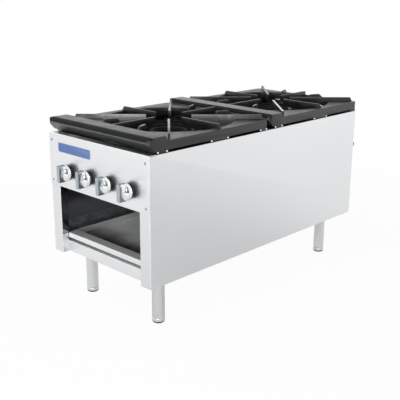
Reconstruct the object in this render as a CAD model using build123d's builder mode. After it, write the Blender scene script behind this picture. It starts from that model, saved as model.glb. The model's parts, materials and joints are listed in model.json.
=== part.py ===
"""Two-section stock pot range: open stainless cabinet on legs, two cast-iron top grates,
two three-ring burners, gas train, control panel with four knobs and a pull-out drip tray.

Frame: +X to the right, the front faces -Y, +Z up. The origin is on the floor, under the middle
of the overall length. All sizes are in millimetres.
"""
import os
from math import cos, radians, sin

from build123d import *

os.makedirs("parts", exist_ok=True)

# ---------------------------------------------------------------- driving dimensions
CABINET_WIDTH = 457.0        # an 18 in section
CABINET_DEPTH = 1010.0
CABINET_BOTTOM = 152.0       # on 6 in legs
CABINET_TOP = 539.0
SHEET = 1.5                  # stainless sheet
POST_FACE = 42.5             # width of each front post
POST_RETURN = 25.0           # depth of the post's inner return
SMALL_FLANGE = 20.0
TOP_FLANGE = 25.0

PANEL_BOTTOM = 373.0         # lower edge of the control panel
KNOB_ROW_CENTRE = 12.0
KNOB_PITCH = 93.0
KNOB_HEIGHT = 428.5          # height of the knobs' axis
KNOB_DEPTH = 44.0            # from the panel to the grip's front
KNOB_RADIUS = 26.5
GRIP_WIDTH = 12.5
BADGE_SIZE = (155.0, 28.0)
BADGE_CENTRE = (-103.5, 498.0)
SCREW_X = 215.0
SCREW_HEIGHTS = (389.0, 516.0)

RAIL_TOP = 188.0             # bottom rails
TRAY_RIM = 217.2             # top of the drip tray's rim
TRAY_SHEET = 1.2
TRAY_FRONT_FLANGE = 29.0
RUNNER_LEDGE = 197.5         # top of the ledge that the tray slides on

GRATE_LENGTH = 507.0
GRATE_PITCH = 508.0
GRATE_FRONT = -509.0         # nose of the front grate
GRATE_BOTTOM = 545.0
GRATE_PLATE = 571.0          # top of the frame plate
GRATE_TOP = 584.0            # top of the ribs, where a pot stands
RING_FROM_NOSE = 294.0
RING_RADIUS = 206.0
RIB_THICKNESS = 6.5
NOSE_CORNER = 16.0           # plan radius of the front bar's ends
FRONT_DIAGONAL = 43.4        # degrees from the X axis, towards the front corners

MANIFOLD_Y = -460.0
MANIFOLD_Z = 402.0
PIPE_RADIUS = 13.35          # 3/4 in pipe
ELBOW_START = 168.0
THREAD_RADIUS = 13.0
THREAD_LENGTH = 22.0
INLET_X = 190.0
BURNER_BASE = 513.0          # underside of the burner rings
BURNER_HEIGHT = 22.0
RING_WIDTH = 24.0
OUTER_RING, MIDDLE_RING, INNER_RING = 150.0, 100.0, 55.0
TUBE_RADIUS = 16.0           # mixing tubes

LEG_X = 159.5
LEG_FRONT_Y, LEG_REAR_Y = -414.0, 416.0
LEG_RADIUS = 19.05           # 1 1/2 in tube
FOOT_HEIGHT = 16.0

# ---------------------------------------------------------------- worked-out places
half_width = CABINET_WIDTH / 2
half_depth = CABINET_DEPTH / 2
wall = half_width - SHEET                      # inner face of a side panel
opening = half_width - POST_FACE               # half the clear width between the posts
rail_front = -half_depth + POST_RETURN
panel_front = -half_depth - SHEET              # the control panel covers the posts
knob_xs = [KNOB_ROW_CENTRE + KNOB_PITCH * step for step in (-1.5, -0.5, 0.5, 1.5)]
knob_front = panel_front - KNOB_DEPTH
inlet_end = -knob_front                        # the gas inlet ends as far back as the knobs stand forward
BEZEL_DEPTH = 15.0
bezel_front = panel_front - BEZEL_DEPTH
KNOB_GAP = 0.4
STEM_RADIUS = 4.0
STEM_CLEARANCE = 0.05
stem_front = knob_front + 8.0
stem_back = -468.0
ring_centres = [GRATE_FRONT + RING_FROM_NOSE + GRATE_PITCH * step for step in (0, 1)]
tube_mouths = [centre - 210.0 for centre in ring_centres]
legs = {
    "front_left": (-LEG_X, LEG_FRONT_Y),
    "front_right": (LEG_X, LEG_FRONT_Y),
    "rear_left": (-LEG_X, LEG_REAR_Y),
    "rear_right": (LEG_X, LEG_REAR_Y),
}


def keep(piece, name):
    """Label a finished piece and write it."""
    piece.part.label = name
    export_step(piece.part, f"parts/{name}.step")


def box(low, high, mode=Mode.ADD):
    """A block between two corners, in the part that is being built."""
    size = [b - a for a, b in zip(low, high)]
    with Locations(tuple((a + b) / 2 for a, b in zip(low, high))):
        Box(*size, mode=mode)


def rod(start, end, radius, mode=Mode.ADD):
    """A round bar between two points along one axis, in the part that is being built."""
    run = Vector(*end) - Vector(*start)
    with Locations(Plane(origin=start, z_dir=run).location):
        Cylinder(radius, run.length, align=(Align.CENTER, Align.CENTER, Align.MIN), mode=mode)


# ---------------------------------------------------------------- cabinet
def side_panel(side, name):
    """Side sheet, bent round into the front post, its return and the rear flange."""
    post_back = -half_depth + SHEET
    with BuildPart() as piece:
        with BuildSketch(Plane.XY.offset(CABINET_BOTTOM)):
            with BuildLine():
                Polyline(
                    (side * (opening + SHEET), rail_front),
                    (side * (opening + SHEET), post_back),
                    (side * wall, post_back),
                    (side * wall, half_depth - 2 * SHEET),
                    (side * (wall - SMALL_FLANGE), half_depth - 2 * SHEET),
                )
                offset(amount=SHEET, side=Side.RIGHT if side > 0 else Side.LEFT, kind=Kind.ARC)
            make_face()
        extrude(amount=CABINET_TOP - SHEET - CABINET_BOTTOM)
        inner_bottom, inner_top = sorted((side * (wall - SMALL_FLANGE), side * half_width))
        # the bottom flange stops at the rear rail's web and goes on behind it
        for front, back in ((rail_front + SHEET, -rail_front - SHEET), (-rail_front, half_depth - 2 * SHEET)):
            box((inner_bottom, front, CABINET_BOTTOM), (inner_top, back, CABINET_BOTTOM + SHEET))
        inner_bottom, inner_top = sorted((side * (half_width - TOP_FLANGE), side * half_width))
        box(
            (inner_bottom, rail_front + SHEET, CABINET_TOP - SHEET),
            (inner_top, half_depth - SHEET, CABINET_TOP),
        )
        for height in SCREW_HEIGHTS:
            rod(
                (side * SCREW_X, -half_depth, height),
                (side * SCREW_X, post_back, height),
                2.1,
                Mode.SUBTRACT,
            )
    keep(piece, name)


def back_panel():
    """Rear sheet over the side panels' flanges, with vent slots and the gas pipe's hole."""
    low, high = CABINET_BOTTOM, CABINET_TOP - 2.0
    with BuildPart() as piece:
        with BuildSketch(Plane.XZ.offset(-half_depth)):
            with Locations((0, (low + high) / 2)):
                Rectangle(2 * wall - 1, high - low)
            with Locations((0, 478)):
                with GridLocations(78, 24, 5, 2):
                    SlotOverall(56, 9, mode=Mode.SUBTRACT)
            with Locations((INLET_X, MANIFOLD_Z)):
                Circle(PIPE_RADIUS + 2.2, mode=Mode.SUBTRACT)
            with Locations(*[(x, z) for x in (-217, 217) for z in (200, 330, 460)]):
                Circle(2.1, mode=Mode.SUBTRACT)
        extrude(amount=SHEET)
    keep(piece, "back_panel")


def bottom_rail(front, name):
    """Channel across the bottom: a web with a flange at each edge, turned into the cabinet."""
    face = rail_front if front else -rail_front
    inwards = 1 if front else -1
    with BuildPart() as piece:
        with BuildSketch(Plane.YZ.offset(-wall)):
            with BuildLine():
                Polyline(
                    (face + inwards * SMALL_FLANGE, CABINET_BOTTOM),
                    (face + inwards * SHEET, CABINET_BOTTOM),
                    (face + inwards * SHEET, RAIL_TOP - SHEET),
                    (face + inwards * SMALL_FLANGE, RAIL_TOP - SHEET),
                )
                offset(amount=SHEET, side=Side.LEFT if front else Side.RIGHT, kind=Kind.ARC)
            make_face()
        extrude(amount=2 * wall)
    keep(piece, name)


def leg_channel(centre_y, name):
    """Inverted channel on the side panels' bottom flanges, which carries two legs."""
    low, high = CABINET_BOTTOM + SHEET, CABINET_BOTTOM + 9.0
    with BuildPart() as piece:
        box((-wall, centre_y - 43, low), (wall, centre_y + 43, high))
        box((-wall, centre_y - 40, low), (wall, centre_y + 40, high - 3), Mode.SUBTRACT)
        for x in (-LEG_X, LEG_X):
            with Locations((x, centre_y, high - 1.5)):
                with GridLocations(56, 56, 2, 2):
                    Cylinder(4.2, 3, mode=Mode.SUBTRACT)
    keep(piece, name)


def centre_rail():
    """Channel across the top, under the joint between the two grates."""
    top = CABINET_TOP - SHEET
    with BuildPart() as piece:
        box((-wall, -18, top - 30), (wall, 16, top))
        box((-wall, -16.5, top - 30), (wall, 14.5, top - SHEET), Mode.SUBTRACT)
    keep(piece, "centre_rail")


def tray_runner(side, name):
    """Angle on the side wall with the ledge that the drip tray slides on."""
    low, high = sorted((side * 168.0, side * wall))
    leg_low, leg_high = sorted((side * (wall - SHEET), side * wall))
    with BuildPart() as piece:
        box((low, rail_front + SHEET, RUNNER_LEDGE - SHEET), (high, 477, RUNNER_LEDGE))
        box((leg_low, rail_front + SHEET, RUNNER_LEDGE - SHEET), (leg_high, 477, 240))
    keep(piece, name)


def drip_tray():
    """Pan as wide as the opening, with a flat front flange and a turned-down front lip."""
    lip_front = rail_front - 2.0
    pan_front, pan_back = lip_front + TRAY_FRONT_FLANGE, 470.0
    pan_half = opening - 2.5
    floor = RUNNER_LEDGE + 0.5
    middle, length = (pan_front + pan_back) / 2, pan_back - pan_front
    with BuildPart() as piece:
        with BuildSketch(Plane.XY.offset(floor)):
            with Locations((0, middle)):
                RectangleRounded(2 * pan_half, length, 8)
        extrude(amount=TRAY_RIM - floor)
        with BuildSketch(Plane.XY.offset(floor + TRAY_SHEET)):
            with Locations((0, middle)):
                RectangleRounded(2 * (pan_half - TRAY_SHEET), length - 2 * TRAY_SHEET, 6.8)
        extrude(amount=TRAY_RIM - floor, mode=Mode.SUBTRACT)
        box((-pan_half, lip_front, TRAY_RIM - TRAY_SHEET), (pan_half, pan_front, TRAY_RIM))
        box((8 - pan_half, pan_front, TRAY_RIM - TRAY_SHEET), (pan_half - 8, pan_front + TRAY_SHEET, TRAY_RIM))
        box((-pan_half, lip_front, 201), (pan_half, lip_front + TRAY_SHEET, TRAY_RIM))
        lip_edge = piece.edges().filter_by(Axis.X).group_by(Axis.Y)[0].sort_by(Axis.Z)[-1]
        fillet(lip_edge, 1.1)
    keep(piece, "drip_tray")


# ---------------------------------------------------------------- control panel
def control_panel():
    """Front sheet with a top flange under the grate's nose and a flange along its lower edge."""
    with BuildPart() as piece:
        with BuildSketch(Plane.YZ.offset(-half_width)):
            with BuildLine():
                Polyline(
                    (rail_front, CABINET_TOP - SHEET),
                    (-half_depth, CABINET_TOP - SHEET),
                    (-half_depth, PANEL_BOTTOM),
                )
                offset(amount=SHEET, side=Side.RIGHT, kind=Kind.ARC)
            make_face()
        extrude(amount=CABINET_WIDTH)
        box((-opening + 2, -half_depth, PANEL_BOTTOM), (opening - 2, -half_depth + 20, PANEL_BOTTOM + SHEET))
        for x in knob_xs:
            rod((x, panel_front, KNOB_HEIGHT), (x, -half_depth, KNOB_HEIGHT), 8, Mode.SUBTRACT)
        for x in (-SCREW_X, SCREW_X):
            for z in SCREW_HEIGHTS:
                rod((x, panel_front, z), (x, -half_depth, z), 2.3, Mode.SUBTRACT)
    keep(piece, "control_panel")


def panel_screws():
    """Four pan-head screws that hold the control panel to the posts."""
    with BuildPart() as piece:
        for x in (-SCREW_X, SCREW_X):
            for z in SCREW_HEIGHTS:
                rod((x, panel_front, z), (x, panel_front + 9, z), 2.0)
                with BuildSketch(Plane(origin=(x, panel_front, z), z_dir=(0, -1, 0))):
                    Circle(4.5)
                extrude(amount=2.4, taper=18)
    keep(piece, "control_panel_screws")


def badge_plate():
    """Bare rounded plate at the top left of the control panel."""
    with BuildPart() as piece:
        with BuildSketch(Plane(origin=(0, panel_front, 0), x_dir=(1, 0, 0), z_dir=(0, -1, 0))):
            with Locations(BADGE_CENTRE):
                RectangleRounded(*BADGE_SIZE, 5)
        extrude(amount=1.2)
    keep(piece, "badge_plate")


def knob_bezels():
    """Four black collars on the panel, behind the knobs."""
    with BuildPart() as piece:
        for x in knob_xs:
            with BuildSketch(Plane(origin=(x, panel_front, KNOB_HEIGHT), z_dir=(0, -1, 0))):
                Circle(28)
            extrude(amount=BEZEL_DEPTH, taper=4)
            rod((x, bezel_front, KNOB_HEIGHT), (x, panel_front, KNOB_HEIGHT), 9, Mode.SUBTRACT)
    keep(piece, "knob_bezels")


def knob(x, name):
    """Die-cast knob: a dished round flange and a tall grip bar, bored for the valve stem."""
    back = bezel_front - KNOB_GAP
    rim = KNOB_RADIUS
    with BuildPart() as piece:
        with BuildSketch(Plane(origin=(x, back, KNOB_HEIGHT), x_dir=(1, 0, 0), z_dir=(0, 0, 1))):
            with BuildLine():
                Polyline((rim - 5, -5), (16, -3.4), (12, -7), (0, -7), (0, 0), (rim - 1, 0), (rim, -1), (rim, -4))
                ThreePointArc((rim, -4), (rim - 2, -6), (rim - 5, -5))
            make_face()
        revolve(axis=Axis((x, back, KNOB_HEIGHT), (0, 1, 0)))
        with BuildSketch(Plane(origin=(x, back, KNOB_HEIGHT), x_dir=(1, 0, 0), z_dir=(0, -1, 0))):
            RectangleRounded(GRIP_WIDTH, 2 * rim - 1, 3)
        extrude(amount=back - knob_front, taper=1)
        chamfer(piece.faces().sort_by(Axis.Y)[0].edges(), 1.2)
        rod((x, back, KNOB_HEIGHT), (x, stem_front - 0.2, KNOB_HEIGHT), STEM_RADIUS, Mode.SUBTRACT)
    keep(piece, name)


# ---------------------------------------------------------------- gas train
def valve_stem(x, name):
    """Round stem with a flat where the knob grips it."""
    with BuildPart() as piece:
        rod((x, stem_front, KNOB_HEIGHT), (x, stem_back, KNOB_HEIGHT), STEM_RADIUS - 0.02)
        box(
            (x - 5, stem_front, KNOB_HEIGHT + 2.5),
            (x + 5, bezel_front, KNOB_HEIGHT + 5),
            Mode.SUBTRACT,
        )
    keep(piece, name)


def valve_body(x, to_front_burner, name):
    """Valve on the manifold: hexagonal body, inlet nipple, and an orifice hood or a tube fitting."""
    body_front, body_back = -492.0, -446.0
    with BuildPart() as piece:
        with BuildSketch(Plane(origin=(x, body_front, KNOB_HEIGHT), z_dir=(0, 1, 0))):
            RegularPolygon(14, 6)
        extrude(amount=18)
        rod((x, body_front + 18, KNOB_HEIGHT), (x, body_back, KNOB_HEIGHT), 11.5)
        rod((x, MANIFOLD_Y, MANIFOLD_Z + 15), (x, MANIFOLD_Y, KNOB_HEIGHT), 7)
        rod((x, body_back, KNOB_HEIGHT), (x, body_back + 12, KNOB_HEIGHT), 8)
        if to_front_burner:
            with BuildSketch(Plane(origin=(x, body_back + 12, KNOB_HEIGHT), z_dir=(0, 1, 0))):
                Circle(6)
            extrude(amount=16, taper=8)
        rod(
            (x, body_front, KNOB_HEIGHT),
            (x, stem_back + 2, KNOB_HEIGHT),
            STEM_RADIUS - 0.02 + STEM_CLEARANCE,
            Mode.SUBTRACT,
        )
    keep(piece, name)


def manifold():
    """Pipe across the front with a boss under each valve."""
    with BuildPart() as piece:
        rod((-180, MANIFOLD_Y, MANIFOLD_Z), (ELBOW_START, MANIFOLD_Y, MANIFOLD_Z), PIPE_RADIUS)
        for x in knob_xs:
            rod((x, MANIFOLD_Y, MANIFOLD_Z), (x, MANIFOLD_Y, MANIFOLD_Z + 15), 10)
        for x in PILOT_XS:
            rod((x, MANIFOLD_Y, MANIFOLD_Z), (x, MANIFOLD_Y, MANIFOLD_Z + 15), 6)
    keep(piece, "gas_manifold")


def manifold_cap():
    """Screwed cap on the manifold's closed end."""
    with BuildPart() as piece:
        rod((-192, MANIFOLD_Y, MANIFOLD_Z), (-180, MANIFOLD_Y, MANIFOLD_Z), 16.5)
        chamfer(piece.edges().group_by(Axis.X)[0], 2)
    keep(piece, "manifold_cap")


def manifold_elbow():
    """Elbow from the manifold to the pipe that runs to the back."""
    corner = (INLET_X, MANIFOLD_Y, MANIFOLD_Z)
    with BuildPart() as piece:
        rod((ELBOW_START, MANIFOLD_Y, MANIFOLD_Z), corner, 16.5)
        rod(corner, (INLET_X, MANIFOLD_Y + 26, MANIFOLD_Z), 16.5)
        with Locations(corner):
            Sphere(16.5)
    keep(piece, "manifold_elbow")


def inlet_pipe():
    """Supply pipe from the elbow out through the back panel, with its threaded end turned down."""
    start, thread = MANIFOLD_Y + 26, inlet_end - THREAD_LENGTH
    with BuildPart() as piece:
        rod((INLET_X, start, MANIFOLD_Z), (INLET_X, thread, MANIFOLD_Z), PIPE_RADIUS)
        rod((INLET_X, thread, MANIFOLD_Z), (INLET_X, inlet_end, MANIFOLD_Z), THREAD_RADIUS)
        rod((INLET_X, inlet_end - 30, MANIFOLD_Z), (INLET_X, inlet_end, MANIFOLD_Z), 10.4, Mode.SUBTRACT)
    keep(piece, "gas_inlet_pipe")


def manifold_brackets():
    """Two straps that hang the manifold from the control panel's lower flange."""
    with BuildPart() as piece:
        for x in (-160, 30):
            box((x - 10, -484.9, PANEL_BOTTOM + SHEET), (x + 10, MANIFOLD_Y - PIPE_RADIUS, PANEL_BOTTOM + 4.5))
            box((x - 10, MANIFOLD_Y - PIPE_RADIUS - 3, PANEL_BOTTOM + SHEET), (x + 10, MANIFOLD_Y - PIPE_RADIUS, 410))
    keep(piece, "manifold_brackets")


def rear_gas_line(start_x, end_x, name):
    """Tube from a control valve to the rear burner's orifice fitting."""
    with BuildPart() as piece:
        with BuildLine() as route:
            FilletPolyline(
                (start_x, -434, KNOB_HEIGHT),
                (start_x, -380, KNOB_HEIGHT),
                (end_x, -320, KNOB_HEIGHT),
                (end_x, REAR_FITTING_FRONT, KNOB_HEIGHT),
                radius=40,
            )
        with BuildSketch(Plane(origin=route.wires()[0] @ 0, z_dir=route.wires()[0] % 0)):
            Circle(5)
        sweep(path=route.wires()[0])
    keep(piece, name)


def rear_orifices():
    """Two brass orifice fittings at the mouths of the rear burner's mixing tubes."""
    with BuildPart() as piece:
        for x in REAR_TUBE_XS:
            with BuildSketch(Plane(origin=(x, REAR_FITTING_FRONT, KNOB_HEIGHT), z_dir=(0, 1, 0))):
                RegularPolygon(9, 6)
            extrude(amount=14)
            rod((x, REAR_FITTING_FRONT + 14, KNOB_HEIGHT), (x, tube_mouths[1] + 5, KNOB_HEIGHT), 5)
    keep(piece, "rear_orifice_fittings")


def orifice_bracket():
    """Strip from the right-hand wall that holds the rear orifice fittings."""
    low = REAR_FITTING_FRONT + 14
    with BuildPart() as piece:
        box((10, low, KNOB_HEIGHT - 12), (wall, low + 2.5, KNOB_HEIGHT + 18))
        for x in REAR_TUBE_XS:
            rod((x, low, KNOB_HEIGHT), (x, low + 2.5, KNOB_HEIGHT), 5.05, Mode.SUBTRACT)
        pilot_hole = (PILOT_XS[1], low, MANIFOLD_Z + 36)
        rod(pilot_hole, (PILOT_XS[1], low + 2.5, MANIFOLD_Z + 36), 4.5, Mode.SUBTRACT)
    keep(piece, "rear_orifice_bracket")


PILOT_XS = (KNOB_ROW_CENTRE, 92.0)
PILOT_OFFSET = (43.0, 64.0)      # pilot head from a burner's centre, between two rings
REAR_TUBE_XS = (-knob_xs[1], -knob_xs[0])
REAR_FITTING_FRONT = tube_mouths[1] - 24.0


def pilot_valves():
    """Two small valves on the manifold that set the pilot flames."""
    with BuildPart() as piece:
        for x in PILOT_XS:
            rod((x, MANIFOLD_Y, MANIFOLD_Z + 15), (x, MANIFOLD_Y, MANIFOLD_Z + 42), 6)
            rod((x, MANIFOLD_Y, MANIFOLD_Z + 36), (x, MANIFOLD_Y + 12, MANIFOLD_Z + 36), 4)
    keep(piece, "pilot_valves")


def pilot_tube(start_x, centre_y, name):
    """Thin tube from a pilot valve to the pilot head in its burner."""
    head_x, head_y = PILOT_OFFSET[0], centre_y + PILOT_OFFSET[1]
    low = MANIFOLD_Z + 36
    with BuildPart() as piece:
        with BuildLine() as route:
            FilletPolyline(
                (start_x, MANIFOLD_Y + 12, low),
                (start_x, centre_y - 60, low),
                (head_x, head_y - 50, 470),
                (head_x, head_y, 474),
                (head_x, head_y, 528),
                radius=14,
            )
        with BuildSketch(Plane(origin=route.wires()[0] @ 0, z_dir=route.wires()[0] % 0)):
            Circle(3)
        sweep(path=route.wires()[0])
    keep(piece, name)


def pilot_heads():
    """Hooded pilot heads, one standing between the rings of each burner."""
    with BuildPart() as piece:
        for centre_y in ring_centres:
            x, y = PILOT_OFFSET[0], centre_y + PILOT_OFFSET[1]
            rod((x, y, 528), (x, y, 540), 5.5)
            rod((x, y, 540), (x, y, 543), 8)
    keep(piece, "pilot_heads")


# ---------------------------------------------------------------- burners
def burner_ring(centre_y, radius):
    """One ring of a burner, with its upper edges bevelled for the flame ports."""
    with BuildSketch(Plane(origin=(0, centre_y, 0), x_dir=(0, 1, 0), z_dir=(1, 0, 0))) as section:
        with BuildLine():
            half, top = RING_WIDTH / 2, BURNER_BASE + BURNER_HEIGHT
            Polyline(
                (radius - half, BURNER_BASE),
                (radius + half, BURNER_BASE),
                (radius + half, top - 8),
                (radius + half - 6, top),
                (radius - half + 6, top),
                (radius - half, top - 8),
                close=True,
            )
        make_face()
    revolve(section.sketch, axis=Axis((0, centre_y, 0), (0, 0, 1)))


def mixing_tube(x, mouth_y, riser_y, radius):
    """Tube from a bell mouth along the cabinet, turned up into a burner ring."""
    with BuildLine() as route:
        FilletPolyline(
            (x, mouth_y + 10, KNOB_HEIGHT),
            (x, riser_y, KNOB_HEIGHT),
            (x, riser_y, BURNER_BASE + 6),
            radius=30,
        )
    with BuildSketch(Plane(origin=(x, mouth_y + 10, KNOB_HEIGHT), z_dir=(0, 1, 0))) as bore:
        Circle(radius)
    sweep(bore.sketch, path=route.wires()[0])
    rod((x, mouth_y, KNOB_HEIGHT), (x, mouth_y + 12, KNOB_HEIGHT), radius + 6)
    rod((x, mouth_y, KNOB_HEIGHT), (x, mouth_y + 50, KNOB_HEIGHT), radius - 3, Mode.SUBTRACT)


def outer_burner(centre_y, mouth_y, side, name):
    """Casting with the two outer rings, four carrying arms and its mixing tube."""
    with BuildPart() as piece:
        burner_ring(centre_y, OUTER_RING)
        burner_ring(centre_y, MIDDLE_RING)
        for angle in (0, 90, 180, 270):
            plane = Plane(origin=(0, centre_y, BURNER_BASE - 8), x_dir=(cos(radians(angle)), sin(radians(angle)), 0))
            with BuildSketch(plane):
                with Locations((100, 0)):
                    Rectangle(118, 20)
            extrude(amount=8)
        reach = knob_xs[0]
        riser = centre_y - (OUTER_RING**2 - reach**2) ** 0.5
        mixing_tube(side * abs(reach), mouth_y, riser, TUBE_RADIUS)
    keep(piece, name)


def inner_burner(centre_y, mouth_y, side, name):
    """Casting with the small ring, which lies on the outer burner's arms, and its mixing tube."""
    with BuildPart() as piece:
        burner_ring(centre_y, INNER_RING)
        reach = abs(knob_xs[1])
        mixing_tube(side * reach, mouth_y, centre_y - reach, TUBE_RADIUS - 2)
    keep(piece, name)


def air_shutters():
    """Slotted plates clamped in front of the four mixing tubes' mouths."""
    places = [(x, tube_mouths[0]) for x in knob_xs[:2]] + [(x, tube_mouths[1]) for x in REAR_TUBE_XS]
    with BuildPart() as piece:
        for x, mouth_y in places:
            with BuildSketch(Plane(origin=(x, mouth_y, KNOB_HEIGHT), z_dir=(0, -1, 0))):
                Circle(21)
                with PolarLocations(13.5, 3, 90):
                    SlotOverall(14, 7, rotation=90, mode=Mode.SUBTRACT)
                Circle(6.5, mode=Mode.SUBTRACT)
            extrude(amount=1.5)
    keep(piece, "air_shutters")


def burner_rails():
    """Four angles between the side panels, which the outer burners' arms rest on."""
    top = BURNER_BASE - 8
    with BuildPart() as piece:
        for centre_y in ring_centres:
            for y in (centre_y - OUTER_RING, centre_y + OUTER_RING):
                box((-wall, y - 10, top - 2), (wall, y + 10, top))
                box((-wall, y + 8, top - 20), (wall, y + 10, top - 2))
    keep(piece, "burner_rails")


# ---------------------------------------------------------------- grates
def rib(centre_y, angle, profile):
    """An upright rib of the grate: its side view is drawn in (radius, height)."""
    a = radians(angle)
    plane = Plane(origin=(0, centre_y, 0), x_dir=(cos(a), sin(a), 0), z_dir=(sin(a), -cos(a), 0))
    with BuildSketch(plane) as side_view:
        with BuildLine():
            Polyline(*profile, close=True)
        make_face()
    extrude(side_view.sketch, amount=RIB_THICKNESS / 2, both=True)


def long_rib(tip, outer_top, outer_foot):
    """Side view of a rib from its tip over the ring to its outer end on the frame."""
    deep = GRATE_TOP - 28
    return [
        (tip, GRATE_TOP),
        (tip, GRATE_TOP - 20),
        (tip + 36, deep),
        (RING_RADIUS + 3, deep),
        (RING_RADIUS + 3, GRATE_PLATE - 2),
        (outer_foot, GRATE_PLATE - 2),
        (outer_top, GRATE_TOP),
    ]


def short_rib():
    """Side view of a short rib between two long ones."""
    tip = 162.0
    return [
        (tip, GRATE_TOP - 8),
        (tip, GRATE_TOP - 28),
        (RING_RADIUS + 3, GRATE_TOP - 28),
        (RING_RADIUS + 3, GRATE_PLATE - 2),
        (224, GRATE_PLATE - 2),
        (206, GRATE_TOP),
        (tip + 8, GRATE_TOP),
        (tip + 2.4, GRATE_TOP - 2.4),
    ]


def grate(nose, name):
    """Cast-iron top grate: frame plate round the ring, rounded front bar, ribs and feet."""
    centre_y = nose + RING_FROM_NOSE
    back = nose + GRATE_LENGTH
    bar_back = nose + 68.0
    with BuildPart() as piece:
        box((-half_width, bar_back, GRATE_BOTTOM), (half_width, back, GRATE_PLATE))
        fillet(piece.edges().filter_by(Axis.Z).group_by(Axis.Y)[-1], 12)
        with BuildSketch(Plane.YZ.offset(-half_width)):
            with BuildLine():
                Polyline((nose + 8, GRATE_TOP), (bar_back, GRATE_TOP), (bar_back + 4, GRATE_PLATE))
                Polyline((bar_back + 4, GRATE_PLATE), (bar_back + 4, GRATE_BOTTOM), (nose + 24, GRATE_BOTTOM))
                Line((nose + 24, GRATE_BOTTOM), (nose + 1.5, 569))
                ThreePointArc((nose + 1.5, 569), (nose + 0.9, 570.6), (nose + 2.4, 572))
                ThreePointArc((nose + 2.4, 572), (nose + 3.4, 578.6), (nose + 8, GRATE_TOP))
            make_face()
        extrude(amount=CABINET_WIDTH)
        corner_x, corner_y = half_width - NOSE_CORNER, nose + NOSE_CORNER
        with BuildSketch(Plane.XY.offset(GRATE_BOTTOM)):
            for x in (-corner_x, corner_x):
                with Locations((x + NOSE_CORNER / 2 * (1 if x > 0 else -1), corner_y - NOSE_CORNER / 2)):
                    Rectangle(NOSE_CORNER, NOSE_CORNER)
            with Locations((-corner_x, corner_y), (corner_x, corner_y)):
                Circle(NOSE_CORNER, mode=Mode.SUBTRACT)
        extrude(amount=GRATE_TOP - GRATE_BOTTOM, mode=Mode.SUBTRACT)
        rod((0, centre_y, GRATE_BOTTOM), (0, centre_y, GRATE_PLATE), RING_RADIUS, Mode.SUBTRACT)
        # hollow underside of the front bar and of the corners
        with BuildSketch(Plane.XY.offset(GRATE_BOTTOM)):
            with Locations((0, (nose + 36 + back - 8) / 2)):
                Rectangle(2 * (half_width - 8), GRATE_LENGTH - 44)
            with Locations((0, centre_y)):
                Circle(RING_RADIUS + 9, mode=Mode.SUBTRACT)
        extrude(amount=GRATE_PLATE - GRATE_BOTTOM - 8, mode=Mode.SUBTRACT)
        box(
            (8 - half_width, nose + 36, GRATE_PLATE - 8),
            (half_width - 8, bar_back - 6, GRATE_TOP - 9),
            Mode.SUBTRACT,
        )
        # long ribs: the front one runs into the bar, the back one ends at the frame's edge
        rib(centre_y, 0, long_rib(60, 214, 223))
        rib(centre_y, 180, long_rib(60, 214, 223))
        rib(centre_y, 90, long_rib(60, 211, 212.8))
        rib(centre_y, 270, long_rib(60, 228, 228))
        for angle in (45, 135, 180 + FRONT_DIAGONAL, -FRONT_DIAGONAL):
            rib(centre_y, angle, long_rib(71, 290, 298))
        for angle in (67.5, 112.5, 247.5, 292.5):
            rib(centre_y, angle, short_rib())
        for low, high in ((34, 72), (245, 320), (468, 500)):
            for x in (-half_width, half_width - 8):
                box((x, nose + low, CABINET_TOP + 0.3), (x + 8, nose + high, GRATE_BOTTOM))
    keep(piece, name)


# ---------------------------------------------------------------- legs
def leg(x, y, name):
    """Tube with a mounting plate at its top, bolted under a leg channel."""
    plate_top = CABINET_BOTTOM + 6.0
    with BuildPart() as piece:
        rod((x, y, FOOT_HEIGHT + 0.4), (x, y, plate_top), LEG_RADIUS)
        box((x - 38, y - 38, plate_top - 4), (x + 38, y + 38, plate_top))
        fillet(piece.edges().filter_by(Axis.Z).filter_by(GeomType.LINE), 5)
        with Locations((x, y, plate_top - 2)):
            with GridLocations(56, 56, 2, 2):
                Cylinder(4.2, 4, mode=Mode.SUBTRACT)
        rod((x, y, FOOT_HEIGHT + 0.4), (x, y, plate_top - 4), LEG_RADIUS - 2, Mode.SUBTRACT)
    keep(piece, name)


def leg_inserts():
    """Threaded plugs in the lower ends of the legs."""
    with BuildPart() as piece:
        for x, y in legs.values():
            rod((x, y, FOOT_HEIGHT + 1), (x, y, FOOT_HEIGHT + 26), LEG_RADIUS - 2)
            rod((x, y, FOOT_HEIGHT + 1), (x, y, FOOT_HEIGHT + 26), 8.06, Mode.SUBTRACT)
    keep(piece, "leg_inserts")


def foot(x, y, name):
    """Bullet foot on its threaded stem."""
    with BuildPart() as piece:
        with BuildSketch(Plane(origin=(x, y, 0), x_dir=(1, 0, 0), z_dir=(0, -1, 0))):
            with BuildLine():
                Polyline((0, 0), (15.5, 0), (18, 2.5), (LEG_RADIUS, 5), (LEG_RADIUS, FOOT_HEIGHT - 1.5))
                Polyline(
                    (LEG_RADIUS, FOOT_HEIGHT - 1.5),
                    (LEG_RADIUS - 1.5, FOOT_HEIGHT),
                    (8, FOOT_HEIGHT),
                    (8, 76),
                    (0, 76),
                    (0, 0),
                )
            make_face()
        revolve(axis=Axis((x, y, 0), (0, 0, 1)))
    keep(piece, name)


def leg_bolts():
    """Hexagon bolts through the leg channels and the legs' plates."""
    web_top = CABINET_BOTTOM + 9.0
    with BuildPart() as piece:
        for x, y in legs.values():
            with Locations((x, y, 0)):
                with GridLocations(56, 56, 2, 2) as grid:
                    spots = [place.position for place in grid.locations]
            for spot in spots:
                rod((spot.X, spot.Y, web_top - 6.9), (spot.X, spot.Y, web_top), 4)
                with BuildSketch(Plane(origin=(spot.X, spot.Y, web_top))):
                    RegularPolygon(7.5, 6)
                extrude(amount=5)
    keep(piece, "leg_bolts")


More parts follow.
